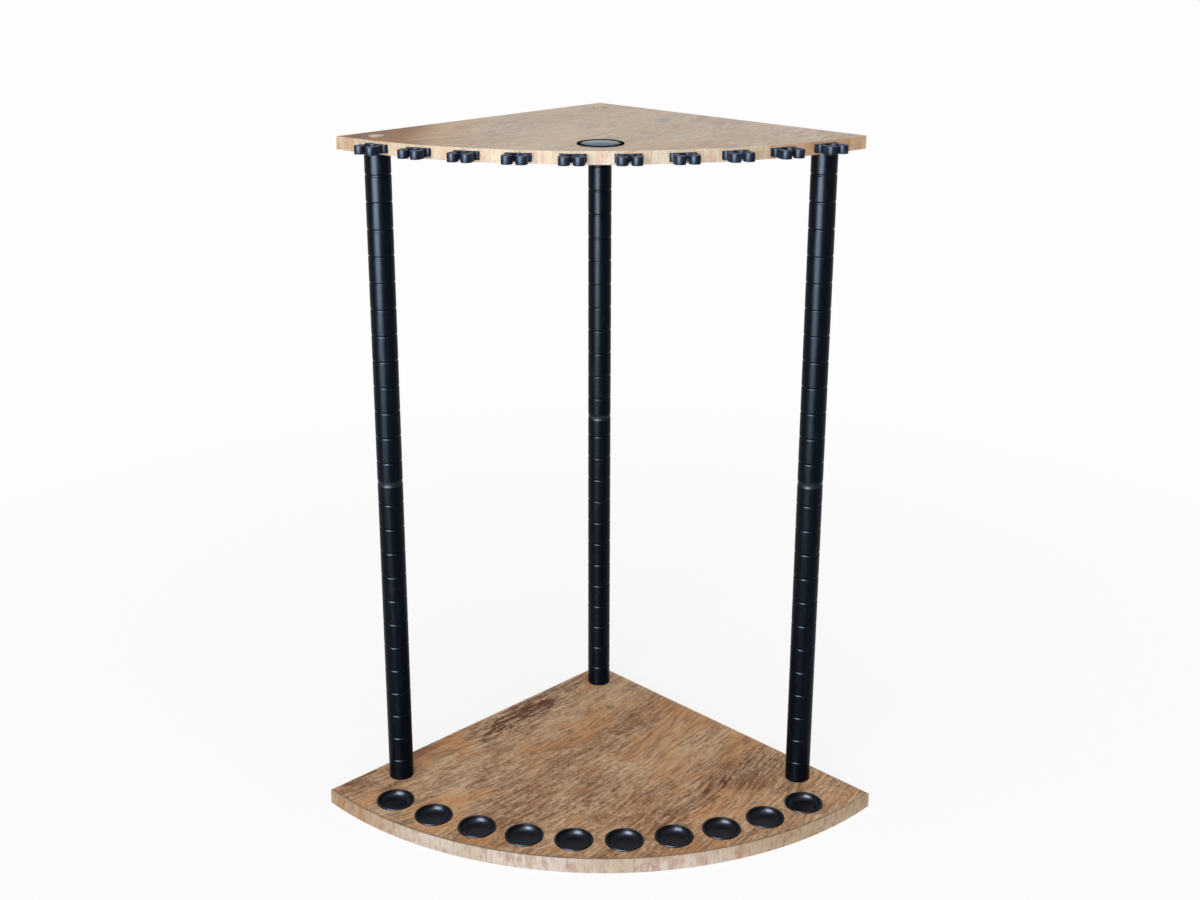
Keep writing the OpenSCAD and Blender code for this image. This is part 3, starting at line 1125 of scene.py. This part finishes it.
@dataclass(frozen=True)
class PhotoCamera:
    """The camera that looks at the rack as the photograph does.

    Attributes:
        place: Where it stands.
        focal: Focal length in pixels of the photograph.
        centre: The pixel that it points at.
        picture: Width and height of the photograph in pixels.
        turn: Turn to the right, in radians.
        tilt: Tilt down, in radians.
        roll: Roll, in radians.
        sensor: Width of its sensor in millimetres, which fixes its focal length in them.
        reach: How far it sees.
    """

    place: tuple[float, float, float] = (-0.0031, -1.4856, 0.8912)
    focal: float = 1562.0
    centre: Pair = (566.2, 376.5)
    picture: tuple[int, int] = (1200, 900)
    turn: float = -0.02039
    tilt: float = 0.2972
    roll: float = -0.004254
    sensor: float = 36.0
    reach: float = 100.0

    def build(self) -> None:
        """Add the camera and make it the scene's own."""
        width, height = self.picture
        data = bpy.data.cameras.new("photo_camera")
        data.sensor_width = self.sensor
        data.lens = self.focal / width * self.sensor
        data.shift_x = (width / 2 - self.centre[0]) / width
        data.shift_y = (self.centre[1] - height / 2) / width
        data.clip_end = self.reach
        camera = bpy.data.objects.new("photo_camera", data)
        forward = Vector(
            (
                math.sin(self.turn) * math.cos(self.tilt),
                math.cos(self.turn) * math.cos(self.tilt),
                -math.sin(self.tilt),
            )
        )
        right = Vector((math.cos(self.turn), -math.sin(self.turn), 0.0))
        up = right.cross(forward)
        facing = Matrix((right, up, -forward)).transposed()
        rolled = facing @ Matrix.Rotation(self.roll, 3, "Z")
        camera.matrix_world = Matrix.Translation(self.place) @ rolled.to_4x4()
        bpy.context.scene.collection.objects.link(camera)
        bpy.context.scene.camera = camera


@dataclass(frozen=True)
class Lamp:
    """A soft rectangular lamp that faces a point of the rack.

    Attributes:
        name: The lamp's name.
        place: Where it hangs.
        width: Its width.
        height: Its height.
        power: Its power in watts.
        target: The point that it faces.
        gloss_only: Whether it shows in reflections alone, as a pale card would.
    """

    name: str
    place: tuple[float, float, float]
    width: float
    height: float
    power: float
    target: tuple[float, float, float] = (0.0, 0.0, 0.34)
    gloss_only: bool = False

    def build(self) -> None:
        """Add the lamp."""
        data = bpy.data.lights.new(self.name, "AREA")
        data.shape = "RECTANGLE"
        data.size = self.width
        data.size_y = self.height
        data.energy = self.power
        lamp = bpy.data.objects.new(self.name, data)
        facing = (Vector(self.target) - Vector(self.place)).to_track_quat("-Z", "Y")
        lamp.matrix_world = Matrix.LocRotScale(Vector(self.place), facing, None)
        lamp.visible_camera = False
        lamp.visible_diffuse = not self.gloss_only
        bpy.context.scene.collection.objects.link(lamp)


@dataclass(frozen=True)
class Studio:
    """A plain pale room: the floor, the white surround and the lamps.

    Attributes:
        floor_half: Half the floor's side.
        floor_shade: The floor's own colour.
        floor_roughness: How matt the floor is.
        shadow_share: How much of the floor's shadow shows close to the rack.
        shadow_span: How far from the rack that share begins to rise, and where it is full.
        shadow_rest: How much of the shadow shows everywhere.
        ambient: Strength of the light from all round.
        lamps: The lamps.
    """

    floor_half: float = 40.0
    floor_shade: float = 0.85
    floor_roughness: float = 0.5
    shadow_share: float = 0.18
    shadow_span: Pair = (1.6, 0.5)
    shadow_rest: float = 0.02
    ambient: float = 0.4
    lamps: tuple[Lamp, ...] = (
        Lamp("key_softbox", (-0.75, -2.2, 1.1), width=1.4, height=1.4, power=24.0),
        Lamp("overhead_softbox", (0.1, -0.4, 2.6), width=2.2, height=1.8, power=34.0),
        Lamp(
            "gloss_card",
            (-1.02, -2.02, 1.2),
            width=1.5,
            height=2.36,
            power=1200.0,
            target=(0.0, -0.1, 1.2),
            gloss_only=True,
        ),
        Lamp(
            "gloss_card_front",
            (0.2, -1.7, 1.55),
            width=1.2,
            height=0.8,
            power=36.0,
            target=(0.0, -0.2, 0.0),
            gloss_only=True,
        ),
    )

    @staticmethod
    def _background_rays(bench: Bench) -> Shade:
        """Tell where the camera, a reflection or a see-through piece sees the surface.

        Args:
            bench: The bench of the floor or the surround.

        Returns:
            1 for such rays and 0 for all others.
        """
        rays = [
            bench.node("ShaderNodeLightPath", output=name)
            for name in ("Is Camera Ray", "Is Glossy Ray", "Is Transmission Ray")
        ]
        return rays[0].larger(rays[1]).larger(rays[2])

    def _floor(self) -> None:
        """Lay the pale floor, which keeps the rack's shadow."""
        bench = MaterialBench("studio_floor")
        place = bench.place()
        near = bench.length(place).step(*self.shadow_span)
        share = 1 - (near * self.shadow_share + self.shadow_rest)
        white = bench.node("ShaderNodeEmission", sockets={"Color": WHITE, "Strength": 1.0})
        own = {"Color": (self.floor_shade,) * 3, "Roughness": self.floor_roughness}
        matt = bench.node("ShaderNodeBsdfDiffuse", sockets=own)
        shown_white = self._background_rays(bench) * share
        mix = bench.node("ShaderNodeMixShader", sockets={0: shown_white, 1: matt, 2: white})
        bench.close(mix)
        shape = bmesh.new()
        bmesh.ops.create_grid(shape, x_segments=1, y_segments=1, size=self.floor_half)
        mesh = bpy.data.meshes.new("studio_floor")
        shape.to_mesh(mesh)
        shape.free()
        mesh.materials.append(bench.material)
        floor = bpy.data.objects.new("studio_floor", mesh)
        bpy.context.scene.collection.objects.link(floor)

    def _surround(self) -> None:
        """Light the room evenly and show it white."""
        world = bpy.data.worlds.new("studio_surround")
        world.use_nodes = True
        bpy.context.scene.world = world
        tree = world.node_tree
        background = next(n for n in tree.nodes if n.type == "BACKGROUND")
        background.inputs["Color"].default_value = (*WHITE, 1.0)
        bench = Bench(tree)
        strength = self._background_rays(bench) * (1 - self.ambient) + self.ambient
        tree.links.new(strength.socket, background.inputs["Strength"])

    def build(self) -> None:
        """Set up the room and its lamps."""
        self._floor()
        self._surround()
        for lamp in self.lamps:
            lamp.build()
        bpy.context.scene.view_settings.view_transform = "Standard"


def main() -> None:
    """Dress the rack and set up the room around it."""
    logging.basicConfig(level=logging.INFO, format="%(message)s")
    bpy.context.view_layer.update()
    PhotoCamera().build()
    Boards().dress()
    Posts().dress()
    RodHolders().build()
    Trim().dress()
    Studio().build()


if __name__ == "__main__":
    main()
